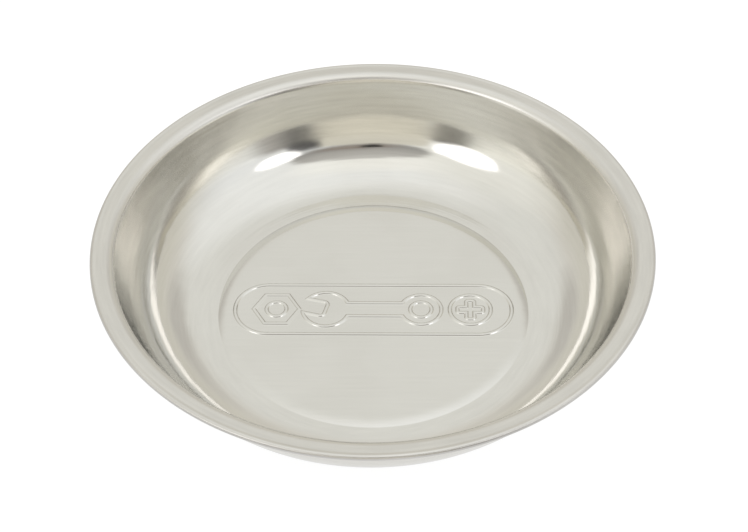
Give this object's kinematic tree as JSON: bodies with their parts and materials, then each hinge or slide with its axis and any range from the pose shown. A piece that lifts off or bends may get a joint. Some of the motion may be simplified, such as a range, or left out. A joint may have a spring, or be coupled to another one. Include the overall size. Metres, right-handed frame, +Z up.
{
  "type": "magnetic parts tray",
  "caption": "Round stainless parts dish with a flat rim, steep wall and embossed band, on a rubber-covered magnet foot that holds small metal parts in place.",
  "frame": {"origin": "middle of the foot's underside, on the surface that the dish stands on", "axes": "+Z up, out of the bowl; +X along the embossed band, left to right for someone at -Y looking towards +Y"},
  "size_m": [0.15, 0.15, 0.036],
  "materials": {
    "stainless": "bright sheet with straight fine grain, more polished in the corner radius",
    "stud_steel": "plain turned stainless",
    "foam": "matt closed-cell foam",
    "pole_steel": "zinc-plated, dull",
    "ferrite": "matt sintered ceramic",
    "nylon": "natural moulded nylon",
    "boot_rubber": "matt moulded rubber with ribs",
    "zinc_steel": "pressed and zinc-plated",
    "spring_steel": "zinc-plated spring steel",
    "nut_steel": "bright zinc-plated"
  },
  "bodies": {
    "root": {"dish": "stainless", "weld_stud": "stud_steel", "adhesive_ring": "foam", "pole_plate": "pole_steel", "ring_magnet": "ferrite", "centring_spacer": "nylon", "rubber_boot": "boot_rubber", "retaining_cup": "zinc_steel", "lock_washer": "spring_steel", "hex_nut": "nut_steel"}
  },
  "joints": []
}
